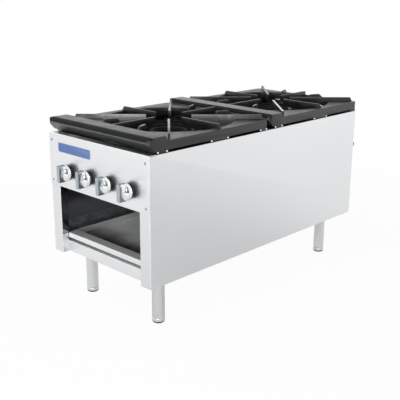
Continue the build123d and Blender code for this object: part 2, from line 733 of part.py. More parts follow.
def back_screws():
    """Pan-head screws that hold the back panel."""
    with BuildPart() as piece:
        for x in (-217, 217):
            for z in (200, 330, 460):
                rod((x, half_depth - SHEET, z), (x, half_depth, z), 2.0)
                with BuildSketch(Plane(origin=(x, half_depth, z), z_dir=(0, 1, 0))):
                    Circle(4.5)
                extrude(amount=2.4, taper=18)
    keep(piece, "back_panel_screws")


side_panel(-1, "left_side_panel")
side_panel(1, "right_side_panel")
back_panel()
bottom_rail(True, "front_bottom_rail")
bottom_rail(False, "rear_bottom_rail")
leg_channel(LEG_FRONT_Y, "front_leg_channel")
leg_channel(LEG_REAR_Y, "rear_leg_channel")
centre_rail()
tray_runner(-1, "left_tray_runner")
tray_runner(1, "right_tray_runner")
drip_tray()
control_panel()
panel_screws()
badge_plate()
knob_bezels()
for number, knob_x in enumerate(knob_xs, start=1):
    knob(knob_x, f"knob_{number}")
    valve_stem(knob_x, f"valve_stem_{number}")
    valve_body(knob_x, number <= 2, f"valve_body_{number}")
manifold()
manifold_cap()
manifold_elbow()
inlet_pipe()
manifold_brackets()
rear_gas_line(knob_xs[2], REAR_TUBE_XS[0], "rear_gas_line_inner")
rear_gas_line(knob_xs[3], REAR_TUBE_XS[1], "rear_gas_line_outer")
rear_orifices()
orifice_bracket()
pilot_valves()
pilot_tube(PILOT_XS[0], ring_centres[0], "pilot_tube_front")
pilot_tube(PILOT_XS[1], ring_centres[1], "pilot_tube_rear")
pilot_heads()
outer_burner(ring_centres[0], tube_mouths[0], -1, "front_outer_burner")
inner_burner(ring_centres[0], tube_mouths[0], -1, "front_inner_burner")
outer_burner(ring_centres[1], tube_mouths[1], 1, "rear_outer_burner")
inner_burner(ring_centres[1], tube_mouths[1], 1, "rear_inner_burner")
air_shutters()
burner_rails()
grate(GRATE_FRONT, "front_grate")
grate(GRATE_FRONT + GRATE_PITCH, "rear_grate")
for place, (leg_x, leg_y) in legs.items():
    leg(leg_x, leg_y, f"leg_{place}")
    foot(leg_x, leg_y, f"foot_{place}")
leg_inserts()
leg_bolts()
back_screws()
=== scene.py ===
"""Stock pot range with two sections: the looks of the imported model, its stage and its camera."""

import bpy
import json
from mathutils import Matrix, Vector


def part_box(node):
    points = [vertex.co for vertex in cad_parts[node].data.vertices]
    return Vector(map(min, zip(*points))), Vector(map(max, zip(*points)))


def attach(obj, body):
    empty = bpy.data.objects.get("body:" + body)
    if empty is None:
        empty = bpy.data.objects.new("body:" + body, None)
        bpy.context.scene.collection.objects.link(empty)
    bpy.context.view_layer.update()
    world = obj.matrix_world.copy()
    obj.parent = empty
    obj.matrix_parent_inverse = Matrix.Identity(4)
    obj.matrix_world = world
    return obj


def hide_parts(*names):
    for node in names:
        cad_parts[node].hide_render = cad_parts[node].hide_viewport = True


bl_info = {
    "name": "Stock Pot Range",
    "version": (1, 0, 0),
    "blender": (4, 5, 0),
    "location": "View3D > Sidebar > Pot Range",
    "description": "Dresses the frame of a two-section stock pot range and sets up its studio",
    "category": "Object",
}

import json
from math import atan2, cos, pi, radians, sin

import bmesh
import bpy
from mathutils import Matrix, Vector

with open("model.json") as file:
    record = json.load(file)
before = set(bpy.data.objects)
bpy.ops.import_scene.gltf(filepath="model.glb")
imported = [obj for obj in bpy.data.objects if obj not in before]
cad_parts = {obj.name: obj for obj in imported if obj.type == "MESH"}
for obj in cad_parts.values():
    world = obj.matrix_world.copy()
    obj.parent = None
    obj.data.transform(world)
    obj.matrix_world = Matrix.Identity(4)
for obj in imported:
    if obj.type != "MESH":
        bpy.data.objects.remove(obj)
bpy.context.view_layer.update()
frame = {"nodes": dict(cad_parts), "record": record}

LEG_PLACES = ("front_left", "front_right", "rear_left", "rear_right")
SECTIONS = ("front", "rear")
KNOBS = (1, 2, 3, 4)

# Places and reaches that the CAD boxes don't give, in metres.
PANEL_FACE = -0.5065  # front of the control panel
BACK_FACE = 0.505  # outside of the back panel
BURNER_BACK = 0.162  # from a burner's centre to the back of its casting
TOP_RIM = 0.004  # how far under a sheet part's highest point its top edge reaches
TURN = 2 * pi

# Where the values of a noise pattern lie, for the nodes that spread it over a range.
NOISE = {"From Min": 0.3, "From Max": 0.7}


# ---------------------------------------------------------------- colours and nodes
def linear(hex_code):
    """An sRGB hex colour as linear red, green, blue and alpha."""
    channels = [int(hex_code[i : i + 2], 16) / 255 for i in (1, 3, 5)]
    return tuple(c / 12.92 if c <= 0.04045 else ((c + 0.055) / 1.055) ** 2.4 for c in channels) + (1.0,)


def colour(name, description, hex_code):
    """A colour setting whose default is an sRGB hex value."""
    return bpy.props.FloatVectorProperty(
        name=name, description=description, subtype="COLOR", size=4, min=0, max=1, default=linear(hex_code)
    )


def length(name, description, default):
    """A length setting in metres."""
    return bpy.props.FloatProperty(
        name=name, description=description, default=default, min=0, unit="LENGTH", precision=4
    )


def amount(name, description, default, **limits):
    """A plain number setting that is never below zero."""
    return bpy.props.FloatProperty(name=name, description=description, default=default, min=0, **limits)


def fill(node, sockets):
    """Fill a node's sockets with values or outputs, where a node stands for its first live output."""
    for socket, value in sockets.items():
        if isinstance(value, bpy.types.Node):
            value = next(output for output in value.outputs if output.enabled)
        if isinstance(value, bpy.types.NodeSocket):
            node.id_data.links.new(value, node.inputs[socket])
        else:
            node.inputs[socket].default_value = value


def add(tree, kind, sockets=None, **settings):
    """Add a node with its own settings and fill its sockets."""
    made = tree.nodes.new(kind)
    for key, value in settings.items():
        setattr(made, key, value)
    fill(made, sockets or {})
    return made


def new_material(name):
    """An empty material: its node tree, its shader and the object's own coordinates."""
    material = bpy.data.materials.new(name)
    material.use_nodes = True
    tree = material.node_tree
    tree.nodes.clear()
    shader = add(tree, "ShaderNodeBsdfPrincipled")
    add(tree, "ShaderNodeOutputMaterial", {"Surface": shader})
    place = add(tree, "ShaderNodeTexCoord").outputs["Object"]
    return material, tree, shader, place


def scaled(tint, factor):
    """A colour made darker or lighter."""
    return tuple(min(1.0, c * factor) for c in tint[:3]) + (1.0,)


def dress(shader, tone, blur, others):
    """Colour and roughen a shader by patterns and fill its other sockets.

    The tone is (share, dark, light) and the blur is (noise, least, most).
    """
    tree = shader.id_data
    colours = dict(zip(("Factor", "A", "B"), tone))
    reach = dict(zip(("Value", "To Min", "To Max"), blur))
    mixed = add(tree, "ShaderNodeMix", colours, data_type="RGBA")
    rough = add(tree, "ShaderNodeMapRange", {**reach, **NOISE})
    fill(shader, {"Base Color": mixed, "Roughness": rough, **others})


# ---------------------------------------------------------------- settings
class PotRangeFinishes(bpy.types.PropertyGroup):
    """Colours of the range's surfaces."""

    stainless: colour("Stainless sheet", "Side panels, control panel and tray", "#eaebec")
    inner: colour("Inner faces", "Unpolished inner side of the side panels", "#8a8c8f")
    pan: colour("Pan", "Inside of the drip tray, dulled by use", "#f2f3f4")
    galvanised: colour("Galvanised sheet", "Rails, channels and back", "#9a9da0")
    ground: colour("Ground iron", "Bare ends of the grates' feet and the barest ribs", "#e6e8ea")
    disc: colour("Disc", "Dished discs of the knobs", "#f0f2f4")
    flank: colour("Flank", "Satin sides of the knobs' grips", "#85888a")
    hollow: colour("Hollow", "Cheeks of the grips, dulled by fingers", "#6a6d6f")
    baked: colour("Baked steel", "Ledge under the grates, baked dark", "#0e0e0e")
    collar: colour("Collar", "Black collars behind the knobs", "#060606")
    badge: colour("Badge", "Bare plate on the control panel", "#4a6aa3")
    grate: colour("Grate iron", "Top grates", "#1b1c1d")
    worn: colour("Worn iron", "Rib tops that pots have rubbed bare", "#8a8b8c")
    burner: colour("Burner iron", "Burner rings", "#0c0c0b")
    leg: colour("Leg steel", "Legs and their feet", "#dcdee0")
    pointer: colour("Pointer", "Front of the knobs' grips", "#adbcc5")
    brass: colour("Brass", "Valves and orifices", "#b8924c")


class PotRangeSizes(bpy.types.PropertyGroup):
    """Sizes of the details that the scene adds."""

    casting_edge: length("Casting edge", "Most that the grates' edges are rounded", 0.0016)
    sheet_edge: length("Sheet edge", "Most that cut sheet edges are rounded", 0.0004)
    bend: length("Bend", "Outside radius of the side panels' bends", 0.0016)
    gap: length("Gap", "How far the sheet parts' tops sit below their neighbours", 0.002)
    grip: length("Grip width", "Width of the knobs' grips", 0.0146)


class PotRangeStudio(bpy.types.PropertyGroup):
    """Camera and lamps."""

    place: bpy.props.FloatVectorProperty(
        name="Camera place",
        description="Where the camera stands",
        subtype="TRANSLATION",
        default=(1.592, -1.726, 0.982),
    )
    turn: bpy.props.FloatVectorProperty(
        name="Camera turn",
        description="Turn from the front, tilt down and roll",
        subtype="EULER",
        default=(radians(43.90), radians(16.36), radians(0.36)),
    )
    lens: bpy.props.FloatProperty(name="Lens", description="Focal length in mm", default=63.72, min=10)
    shift: bpy.props.FloatProperty(name="Shift", description="Vertical shift of the view", default=-0.025)
    ambient: amount("Ambient", "Light from all round", 0.5)
    key: amount("Key lamp", "Power of the main lamp", 22)
    back: amount("Back lamp", "Power of the low lamp behind", 1)
    front: amount("Front lamp", "Power of the low lamp in front", 10)
    near: amount("Near lamp", "Power of the lamp by the camera", 13)
    corner: amount("Corner lamp", "Power of the low lamp that faces the near corner", 23)
    glow: amount("Paper glow", "How far the paper seen by the camera goes to plain white", 0.95, max=1)
    mirrored: amount("Mirrored glow", "The same for the near paper that the steel mirrors", 0, max=1)
    mirrored_reach: amount(
        "Mirrored reach", "How far out the mirrored paper is plain white", 1.75, unit="LENGTH"
    )
    floor: colour("Floor", "Paper under and behind the range", "#fbfbfb")


# ---------------------------------------------------------------- finishes
def brushed_stainless(name, tint, grain, metal=1.0, rough=0.36):
    """Stainless sheet with a No. 4 brushed finish: long fine scratches blur reflections across the grain.

    The belt's scratches are about 0.1 mm apart, too fine to show, so they are drawn 1.6 mm apart.
    """
    material, tree, shader, place = new_material(name)
    across = [600.0, 600.0, 600.0]
    across["XYZ".index(grain)] = 5.0
    stretch = add(tree, "ShaderNodeMapping", {"Vector": place, "Scale": across})
    lines = add(tree, "ShaderNodeTexNoise", {"Vector": stretch, "Scale": 1.0, "Detail": 3.0})
    hand = add(tree, "ShaderNodeTexNoise", {"Vector": place, "Scale": 3.5, "Detail": 2.0})
    light = add(tree, "ShaderNodeMapRange", {"Value": lines, **NOISE, "To Min": 0.0, "To Max": 1.0})
    blur = add(
        tree, "ShaderNodeMapRange", {"Value": lines, **NOISE, "To Min": rough - 0.03, "To Max": rough + 0.03}
    )
    smear = add(tree, "ShaderNodeMapRange", {"Value": hand, **NOISE, "To Min": -0.02, "To Max": 0.03})
    tone = {"Factor": light, "A": scaled(tint, 0.985), "B": tint}
    surface = {
        "Base Color": add(tree, "ShaderNodeMix", tone, data_type="RGBA"),
        "Roughness": add(tree, "ShaderNodeMath", {0: blur, 1: smear}, operation="ADD"),
        "Normal": add(tree, "ShaderNodeBump", {"Height": lines, "Strength": 0.025, "Distance": 0.0004}),
        "Metallic": metal,
    }
    fill(shader, surface)
    return material


def heat_tinted(name, tint, height):
    """Unpolished mill finish that the burners' heat has darkened above a height."""
    material, tree, shader, place = new_material(name)
    cloud = add(tree, "ShaderNodeTexNoise", {"Vector": place, "Scale": 6.0, "Detail": 3.0})
    level = add(tree, "ShaderNodeSeparateXYZ", {"Vector": place}).outputs["Z"]
    waver = add(tree, "ShaderNodeMapRange", {"Value": cloud, **NOISE, "To Min": -0.008, "To Max": 0.008})
    uneven = add(tree, "ShaderNodeMath", {0: level, 1: waver}, operation="ADD")
    start, end = height - 0.015, height + 0.02
    rise = {"Value": uneven, "From Min": start, "From Max": end, "To Min": 0.0, "To Max": 1.0}
    hot = add(tree, "ShaderNodeMapRange", rise, interpolation_type="SMOOTHSTEP")
    dress(shader, (hot, tint, scaled(tint, 0.3)), (cloud, 0.46, 0.54), {"Metallic": 1.0})
    return material


def greasy_pan(name, tint, front):
    """The drip tray's floor: dull steel, stained dark by grease towards the front, where it is pulled out."""
    material, tree, shader, place = new_material(name)
    smear = add(tree, "ShaderNodeTexNoise", {"Vector": place, "Scale": 9.0, "Detail": 4.0})
    depth = add(tree, "ShaderNodeSeparateXYZ", {"Vector": place}).outputs["Y"]
    waver = add(tree, "ShaderNodeMapRange", {"Value": smear, **NOISE, "To Min": -0.03, "To Max": 0.03})
    uneven = add(tree, "ShaderNodeMath", {0: depth, 1: waver}, operation="ADD")
    start, end = front + 0.05, front + 0.19
    rise = {"Value": uneven, "From Min": start, "From Max": end, "To Min": 0.0, "To Max": 1.0}
    clean = add(tree, "ShaderNodeMapRange", rise, interpolation_type="SMOOTHSTEP")
    constants = {"Specular IOR Level": 0.15, "Metallic": 0.15}
    dress(shader, (clean, scaled(tint, 0.03), tint), (smear, 0.24, 0.36), constants)
    return material


def drawn_tube_steel(name, tint):
    """Drawn steel tube with a satin finish: its fine lengthwise lines stretch highlights round the tube."""
    material, tree, shader, place = new_material(name)
    stretch = add(tree, "ShaderNodeMapping", {"Vector": place, "Scale": (900.0, 900.0, 6.0)})
    lines = add(tree, "ShaderNodeTexNoise", {"Vector": stretch, "Scale": 1.0, "Detail": 2.0})
    light = add(tree, "ShaderNodeMapRange", {"Value": lines, **NOISE, "To Min": 0.0, "To Max": 1.0})
    dress(shader, (light, scaled(tint, 0.95), tint), (lines, 0.12, 0.18), {"Metallic": 0.75})
    return material


def galvanised_steel(name, tint):
    """Hot-dip galvanised sheet: dull zinc in spangles about 12 mm across, each a slightly different grey."""
    material, tree, shader, place = new_material(name)
    cells = add(tree, "ShaderNodeTexVoronoi", {"Vector": place, "Scale": 85.0})
    grey = add(tree, "ShaderNodeSeparateColor", {"Color": cells.outputs["Color"]}).outputs["Red"]
    dress(shader, (grey, scaled(tint, 0.78), tint), (grey, 0.42, 0.58), {"Metallic": 0.9})
    return material


def cast_iron(name, tint, rough, gloss=0.5):
    """Sand-cast grey iron under black heat paint: sand grain of about 1 mm and worn, paler high spots."""
    material, tree, shader, place = new_material(name)
    sand = add(tree, "ShaderNodeTexNoise", {"Vector": place, "Scale": 900.0, "Detail": 4.0})
    wear = add(tree, "ShaderNodeTexNoise", {"Vector": place, "Scale": 28.0, "Detail": 5.0})
    light = add(tree, "ShaderNodeMapRange", {"Value": wear, **NOISE, "To Min": 0.0, "To Max": 1.0})
    relief = add(tree, "ShaderNodeBump", {"Height": sand, "Strength": 0.12, "Distance": 0.0005})
    others = {"Normal": relief, "Specular IOR Level": gloss}
    dress(shader, (light, scaled(tint, 0.75), scaled(tint, 1.35)), (wear, rough - 0.07, rough + 0.07), others)
    return material


def burnt_iron(name, tint, bare, reach):
    """Cast iron that flames and pans have worn bare round each burner, fading to black paint farther out."""
    material, tree, shader, place = new_material(name)
    sand = add(tree, "ShaderNodeTexNoise", {"Vector": place, "Scale": 900.0, "Detail": 4.0})
    patches = add(tree, "ShaderNodeTexNoise", {"Vector": place, "Scale": 45.0, "Detail": 4.0})
    near = 1.0
    for section in SECTIONS:
        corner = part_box(f"{section}_outer_burner")[1]
        centre = (0.0, corner.y - BURNER_BACK, corner.z)
        away = add(tree, "ShaderNodeVectorMath", {0: place, 1: centre}, operation="DISTANCE")
        near = add(tree, "ShaderNodeMath", {0: near, 1: away}, operation="MINIMUM")
    waver = add(tree, "ShaderNodeMapRange", {"Value": patches, **NOISE, "To Min": -0.03, "To Max": 0.03})
    uneven = add(tree, "ShaderNodeMath", {0: near, 1: waver}, operation="ADD")
    fade = {"Value": uneven, "From Min": 0.11, "From Max": reach, "To Min": 1.0, "To Max": 0.0}
    share = add(tree, "ShaderNodeMapRange", fade, interpolation_type="SMOOTHSTEP")
    metal = add(tree, "ShaderNodeMath", {0: share, 1: 0.8}, operation="MULTIPLY")
    relief = add(tree, "ShaderNodeBump", {"Height": sand, "Strength": 0.15, "Distance": 0.0005})
    dress(shader, (share, tint, bare), (patches, 0.42, 0.52), {"Metallic": metal, "Normal": relief})
    return material


def bright_metal(name, tint, rough):
    """Polished or machined metal: even reflections, with faint smears from handling."""
    material, tree, shader, place = new_material(name)
    smear = add(tree, "ShaderNodeTexNoise", {"Vector": place, "Scale": 60.0, "Detail": 3.0})
    dress(shader, (smear, scaled(tint, 0.94), tint), (smear, rough * 0.75, rough * 1.35), {"Metallic": 1.0})
    return material


def moulded_black(name, tint):
    """Black phenolic moulding: smooth, slightly glossy, with a fine moulded grain."""
    material, tree, shader, place = new_material(name)
    grain = add(tree, "ShaderNodeTexNoise", {"Vector": place, "Scale": 1400.0, "Detail": 2.0})
    blur = {"Value": grain, **NOISE, "To Min": 0.26, "To Max": 0.36}
    surface = {
        "Base Color": tint,
        "Roughness": add(tree, "ShaderNodeMapRange", blur),
        "Normal": add(tree, "ShaderNodeBump", {"Height": grain, "Strength": 0.08, "Distance": 0.0003}),
        "Specular IOR Level": 0.12,
    }
    fill(shader, surface)
    return material


def enamel(name, tint):
    """Stoved enamel on a plate: even colour under a clear, slightly uneven gloss."""
    material, tree, shader, place = new_material(name)
    flow = add(tree, "ShaderNodeTexNoise", {"Vector": place, "Scale": 120.0, "Detail": 1.0})
    tone = {"Factor": flow, "A": scaled(tint, 0.93), "B": scaled(tint, 1.05)}
    surface = {
        "Base Color": add(tree, "ShaderNodeMix", tone, data_type="RGBA"),
        "Roughness": 0.32,
        "Coat Weight": 0.4,
        "Coat Roughness": 0.12,
    }
    fill(shader, surface)
    return material


def make_finishes():
    """All finishes of the range: the record's slots first, then those of single faces."""
    wanted = bpy.context.scene.pot_range_finishes
    steel, iron = wanted.stainless, wanted.grate
    sheet = brushed_stainless("brushed_stainless_grain_along", scaled(steel, 0.935), "Y")
    return {
        "stainless_sheet": sheet,
        "stainless_along": sheet,
        "stainless_across": brushed_stainless("brushed_stainless_grain_across", steel, "X"),
        "galvanised_sheet": galvanised_steel("galvanised_spangled_steel", wanted.galvanised),
        "zinc_hardware": bright_metal("zinc_plated_steel", scaled(wanted.galvanised, 1.15), 0.3),
        "blue_enamel": enamel("stoved_blue_enamel", wanted.badge),
        "black_collar": moulded_black("moulded_black_phenolic", wanted.collar),
        "chrome_knob": bright_metal("chromed_die_casting", wanted.disc, 0.08),
        "brass": bright_metal("machined_brass", wanted.brass, 0.25),
        "black_pipe": cast_iron("black_steel_pipe", scaled(iron, 1.2), 0.5),
        "aluminium_tube": bright_metal("drawn_aluminium", wanted.leg, 0.35),
        "steel_pilot": bright_metal("blued_steel", scaled(wanted.leg, 0.4), 0.4),
        "burner_iron": cast_iron("heat_blackened_burner_iron", wanted.burner, 0.75, gloss=0.15),
        "grate_iron": cast_iron("painted_grate_iron", iron, 0.34),
        "leg_steel": drawn_tube_steel("satin_drawn_leg_steel", wanted.leg),
        "stainless_lip": brushed_stainless("stainless_tray_lip", steel, "X", rough=0.28),
        "dull_pan": brushed_stainless("dull_pan_steel", scaled(wanted.pan, 0.6), "X", metal=0.35, rough=0.4),
        "dull_flange": brushed_stainless("dull_rail_flange", wanted.pan, "X", metal=0.2, rough=0.5),
        "greasy_pan": greasy_pan("greasy_pan_floor", wanted.pan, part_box("drip_tray")[0].y),
        "smooth_fold": brushed_stainless("smooth_folded_stainless", wanted.inner, "Z", rough=0.15),
        "mill_finish": heat_tinted("heat_darkened_mill_finish", wanted.inner, 0.30),
        "baked_ledge": cast_iron("sheet_baked_dark_under_the_grates", wanted.baked, 0.6, gloss=0.2),
        "pointer": bright_metal("cool_tinted_chrome", wanted.pointer, 0.2),
        "satin_flank": bright_metal("satin_grip_flank", wanted.flank, 0.3),
        "rubbed_flank": bright_metal("grip_flank_rubbed_by_fingers", scaled(wanted.flank, 2.0), 0.42),
        "dulled_hollow": bright_metal("chrome_dulled_in_the_hollow", wanted.hollow, 0.2),
        "foot_sole": cast_iron("dark_foot_sole", wanted.burner, 0.7, gloss=0.1),
        "worn_top": burnt_iron("iron_rubbed_bare_by_pots", iron, scaled(wanted.worn, 1.9), 0.34),
        "worn_left": burnt_iron("iron_burnt_bare_left", iron, scaled(wanted.worn, 1.7), 0.36),
        "worn_right": burnt_iron("iron_burnt_bare_right", iron, scaled(wanted.worn, 0.75), 0.32),
        "worn_bar": cast_iron("iron_bar_rubbed_grey", scaled(iron, 6.5), 0.34),
        "matt_nose": cast_iron("matt_soot_on_the_nose", scaled(iron, 0.8), 0.7, gloss=0.15),
        "rubbed_nose": cast_iron("nose_rubbed_grey", scaled(iron, 4.5), 0.36),
        "ground_iron": bright_metal("ground_bare_iron", wanted.ground, 0.4),
    }


finishes = {}


def paint(piece, finish):
    """Give a piece or a CAD node one finish all over."""
    piece.data.materials.clear()
    piece.data.materials.append(finishes[finish])


def numbered(others):
    """The material index of each finish that a piece has besides its own, which is None here."""
    return {None: 0, **{finish: index for index, finish in enumerate(others, 1)}}


# ---------------------------------------------------------------- shapes
def owner(node):
    """The body that a CAD node moves with."""
    return next(body for body, members in frame["record"]["behaviour"]["bodies"].items() if node in members)


def finish_piece(shape, name, slot, body, *stands_for, finish=None, others=(), smooth=35):
    """Turn a bmesh into a piece that rides on its body, smooth except at edges sharper than an angle."""
    mesh = bpy.data.meshes.new(name)
    for face in shape.faces:
        face.smooth = True
    for edge in shape.edges:
        edge.smooth = not edge.is_manifold or edge.calc_face_angle(0) < radians(smooth)
    shape.to_mesh(mesh)
    shape.free()
    piece = bpy.data.objects.new(name, mesh)
    bpy.context.scene.collection.objects.link(piece)
    for chosen in (finish or slot, *others):
        mesh.materials.append(finishes[chosen])
    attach(piece, body)
    if stands_for:
        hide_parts(*stands_for)
    return piece


def merged_copy(node):
    """A CAD node's mesh with its loose triangles merged and its flat faces made whole."""
    shape = bmesh.new()
    shape.from_mesh(frame["nodes"][node].data)
    bmesh.ops.remove_doubles(shape, verts=shape.verts, dist=2e-6)
    bmesh.ops.dissolve_limit(
        shape, angle_limit=radians(0.4), use_dissolve_boundaries=False, verts=shape.verts, edges=shape.edges
    )
    return shape


def round_edges(shape, radius, wanted=None, sharper=28, segments=3, clamp=True):
    """Round the wanted edges, or every edge that is sharper than an angle.

    With the clamp, the narrowest face holds all of them to one radius, often far below the wanted one.
    """
    sharp = [e for e in shape.edges if e.is_manifold and e.calc_face_angle(0) > radians(sharper)]
    bmesh.ops.bevel(
        shape,
        geom=[e for e in sharp if wanted is None or wanted(e)],
        offset=radius,
        offset_type="OFFSET",
        affect="EDGES",
        segments=segments,
        profile=0.5,
        clamp_overlap=clamp,
        material=-1,
    )


def split(shape, through, facing):
    """Split the faces of a shape along a plane."""
    whole = [*shape.verts, *shape.edges, *shape.faces]
    bmesh.ops.bisect_plane(shape, geom=whole, dist=1e-6, plane_co=through, plane_no=facing)


def runs(edge, axis):
    """Whether an edge runs along an axis."""
    step = edge.verts[1].co - edge.verts[0].co
    return abs(step["XYZ".index(axis)]) > 0.999 * step.length


def block(low, high):
    """A box between two corners."""
    shape = bmesh.new()
    low, high = Vector(low), Vector(high)
    bmesh.ops.create_cube(shape, size=1.0)
    bmesh.ops.scale(shape, vec=high - low, verts=shape.verts)
    bmesh.ops.translate(shape, vec=(low + high) / 2, verts=shape.verts)
    return shape


def turned(profile, centre, axis, steps, closed=False):
    """A turned shape: its half section is given as (radius, distance along the axis)."""
    shape = bmesh.new()
    line = [shape.verts.new(Vector(centre) + Vector((r, 0, 0)) + Vector(axis) * h) for r, h in profile]
    pairs = list(zip(line, line[1:])) + ([(line[-1], line[0])] if closed else [])
    edges = [shape.edges.new(pair) for pair in pairs]
    bmesh.ops.spin(
        shape,
        geom=line + edges,
        cent=centre,
        axis=axis,
        dvec=(0, 0, 0),
        angle=TURN,
        steps=steps,
        use_merge=True,
    )
    bmesh.ops.remove_doubles(shape, verts=shape.verts, dist=1e-6)
    bmesh.ops.recalc_face_normals(shape, faces=shape.faces)
    return shape


def joined(*shapes):
    """One bmesh out of several."""
    whole = bmesh.new()
    for shape in shapes:
        passing = bpy.data.meshes.new("passing")
        shape.to_mesh(passing)
        shape.free()
        whole.from_mesh(passing)
        bpy.data.meshes.remove(passing)
    return whole


def hollow_cheeks(x, back, z, half):
    """The concave cheeks that lead a knob's grip down into its disc, shorter towards the grip's ends."""
    root, foot, spread, rise, half_length, least = -0.001, -0.004, 0.0170, 0.0215, 0.0245, 0.03
    stations, corners = 24, 10
    quarter = [pi * i / (2 * corners) for i in range(corners + 1)]
    cheeks = bmesh.new()
    edges = []
    for step in range(stations + 1):
        slant = pi * (step / stations - 0.5)
        reach = max(cos(slant), least)
        side = [(half + spread * reach * (1 - cos(t)), foot - rise * reach * (1 - sin(t))) for t in quarter]
        section = [(half, root), *side[::-1], *[(-a, b) for a, b in side], (-half, root)]
        ring = [cheeks.verts.new((x + a, back + b, z + half_length * sin(slant))) for a, b in section]
        edges += [cheeks.edges.new(pair) for pair in zip(ring, ring[1:] + ring[:1])]
    bmesh.ops.bridge_loops(cheeks, edges=edges)
    bmesh.ops.holes_fill(cheeks, edges=[e for e in cheeks.edges if e.is_boundary], sides=0)
    bmesh.ops.recalc_face_normals(cheeks, faces=cheeks.faces)
    return cheeks


def cross_head(radius, height):
    """A pan head that faces up from the origin, with a cross recess."""
    rim, half, reach, depth = radius * 0.12, radius * 0.13, radius * 0.42, height * 0.6
    arc = [(radius * cos(a), height * sin(a)) for a in (0, 0.35, 0.7, 1.0)]
    head = turned([(radius * 0.9, -height * 0.1), *arc], (0, 0, 0), (0, 0, 1), 24)
    open_top = [e for e in head.edges if e.is_boundary and e.verts[0].co.z > height * 0.5]
    bmesh.ops.contextual_create(head, geom=open_top)
    top = max(head.faces, key=lambda f: f.calc_center_median().z)
    bmesh.ops.inset_region(head, faces=[top], thickness=rim, use_even_offset=True)
    top = max(head.faces, key=lambda f: (round(f.calc_center_median().z, 6), f.calc_area()))
    level = top.calc_center_median().z
    for axis, side in (((1, 0, 0), half), ((1, 0, 0), -half), ((0, 1, 0), half), ((0, 1, 0), -half)):
        flat = [f for f in head.faces if f.calc_center_median().length < radius and f.normal.z > 0.99]
        pieces = {x for f in flat for x in (f, *f.edges, *f.verts)}
        through = [side * a for a in axis]
        bmesh.ops.bisect_plane(head, geom=list(pieces), dist=1e-7, plane_co=through, plane_no=axis)
    slots = []
    for face in head.faces:
        x, y, z = face.calc_center_median()
        in_cross = min(abs(x), abs(y)) < half and max(abs(x), abs(y)) < reach
        if face.normal.z > 0.99 and abs(z - level) < 1e-6 and in_cross:
            slots.append(face)
    deep = bmesh.ops.extrude_face_region(head, geom=slots)["geom"]
    floor = [v for v in deep if isinstance(v, bmesh.types.BMVert)]
    bmesh.ops.translate(head, vec=(0, 0, -depth), verts=floor)
    bmesh.ops.recalc_face_normals(head, faces=head.faces)
    return head


# ---------------------------------------------------------------- operators
class POTRANGE_OT_frame_finishes(bpy.types.Operator):
    """Give every CAD node the finish of its material slot"""

    bl_idname = "pot_range.frame_finishes"
    bl_label = "Frame finishes"

    def execute(self, context):
        finishes.update(make_finishes())
        for part in frame["record"]["subparts"]:
            paint(frame["nodes"][part["node"]], part["material_slot"])
        return {"FINISHED"}


SHEETS = {
    "left_side_panel": "stainless_along",
    "right_side_panel": "stainless_along",
    "control_panel": "stainless_across",
    "front_bottom_rail": "stainless_across",
    "drip_tray": "stainless_lip",
    "back_panel": "galvanised_sheet",
}
SHEET_FACES = ("mill_finish", "dull_pan", "smooth_fold", "baked_ledge", "greasy_pan", "dull_flange")


def box_faces_met(point, low, high):
    """On how many faces of a box a point lies."""
    return sum(min(abs(point[k] - low[k]), abs(point[k] - high[k])) < 1e-5 for k in range(3))


def drop(node, point, low, high, gap):
    """How much lower than its CAD place a sheet part's corner sits, to leave a dark line above the part."""
    lip_thickness, panel_share = 0.0025, 0.4
    if node == "drip_tray":
        return gap if point.y < low.y + lip_thickness else 0.0
    if node == "back_panel" or point.z <= high.z - TOP_RIM:
        return 0.0
    return gap * panel_share if node == "control_panel" else gap


def sheet_face_finish(node, face, low, high, fold_split):
    """The finish of a sheet part's face where it isn't the part's own."""
    x, y, z = face.calc_center_median()
    normal = face.normal
    lining, return_fold, tray_front, tray_rim = (0.001, 0.003), 0.01, 0.001, 0.002
    sideways, top_edge = abs(normal.x) > 0.9, normal.z > 0.9 and z > high.z - TOP_RIM
    if node.endswith("side_panel"):
        inwards = max(abs(low.x), abs(high.x)) - abs(x)
        if lining[0] < inwards < lining[1] and sideways:
            return "mill_finish"
        if top_edge:
            return "baked_ledge"
        return "smooth_fold" if inwards > return_fold and sideways and z > fold_split else None
    if node == "drip_tray" and (y > low.y + tray_front or sideways):
        if z > high.z - tray_rim or abs(normal.x) > 0.7:
            return "dull_pan"
        return None if normal.y < -0.9 else "greasy_pan"
    return "dull_flange" if node == "front_bottom_rail" and top_edge else None


class POTRANGE_OT_sheet_metal(bpy.types.Operator):
    """Give the visible sheet parts their bends, their shadow gaps and the finishes of their faces"""

    bl_idname = "pot_range.sheet_metal"
    bl_label = "Sheet metal"

    def execute(self, context):
        sizes = context.scene.pot_range_sizes
        fold_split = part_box("drip_tray")[1].z - 0.006
        long_bend, short_edge = 0.1, 0.004
        indices = numbered(SHEET_FACES)
        for node, finish in SHEETS.items():
            sheet = merged_copy(node)
            low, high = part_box(node)
            if node.endswith("side_panel"):
                split(sheet, (0, 0, fold_split), (0, 0, 1))

                def outer_bend(edge):
                    """Whether an edge is a long outside corner of the bent sheet."""
                    middle = (edge.verts[0].co + edge.verts[1].co) / 2
                    return box_faces_met(middle, low, high) >= 2 and edge.calc_length() > long_bend

                round_edges(sheet, sizes.bend, outer_bend, segments=4, clamp=False)
            for vertex in sheet.verts:
                vertex.co.z -= drop(node, vertex.co, low, high, sizes.gap)
            round_edges(sheet, sizes.sheet_edge, lambda e: e.calc_length() > short_edge, segments=2)
            for face in sheet.faces:
                face.material_index = indices[sheet_face_finish(node, face, low, high, fold_split)]
            slot = "galvanised_sheet" if node == "back_panel" else "stainless_sheet"
            finish_piece(sheet, f"{node}_sheet", slot, owner(node), node, finish=finish, others=SHEET_FACES)
        return {"FINISHED"}


